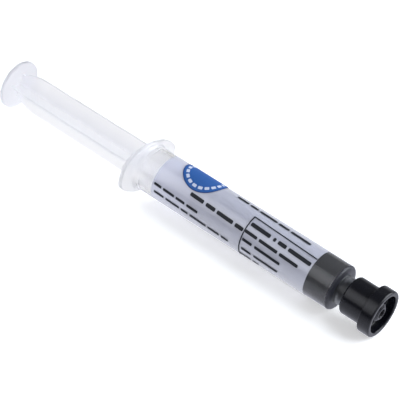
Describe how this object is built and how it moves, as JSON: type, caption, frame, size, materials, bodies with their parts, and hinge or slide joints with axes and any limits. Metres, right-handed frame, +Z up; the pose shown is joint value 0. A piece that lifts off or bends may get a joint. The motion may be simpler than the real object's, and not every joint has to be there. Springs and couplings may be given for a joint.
{
  "type": "solder paste syringe",
  "caption": "Hand syringe filled with solder paste: translucent barrel with finger flange, ribbed plunger, wrapped label and a black cap on the nose.",
  "frame": {"origin": "middle of the syringe's overall length and width, at the level of the table that it lies on", "axes": "+X along the syringe's axis towards the nose and cap, +Y along the long way of the finger flange, +Z up from the table"},
  "size_m": [0.171, 0.03, 0.0198],
  "materials": {
    "clear_polypropylene": "gloss",
    "natural_polypropylene": "satin",
    "label_film": "satin",
    "solder_paste": "satin",
    "stopper_rubber": "satin",
    "black_polyethylene": "satin"
  },
  "bodies": {
    "barrel": {"barrel": "clear_polypropylene", "label": "label_film", "solder_paste": "solder_paste"},
    "stopper": {"stopper": "stopper_rubber"},
    "rod": {"plunger_rod": "natural_polypropylene"},
    "cap": {"tip_cap": "black_polyethylene"}
  },
  "joints": [
    {"name": "plunger_slide", "type": "slide", "parent": "barrel", "child": "stopper", "axis": [1, 0, 0], "range_m": [0, 0.0532], "deforming": ["solder_paste"]},
    {"name": "rod_spin", "type": "hinge", "parent": "stopper", "child": "rod", "pos_m": [0.00555, 0, 0.0099], "axis": [1, 0, 0], "continuous": true},
    {"name": "cap_pull", "type": "slide", "parent": "barrel", "child": "cap", "axis": [1, 0, 0], "range_m": [0, 0.02]}
  ]
}
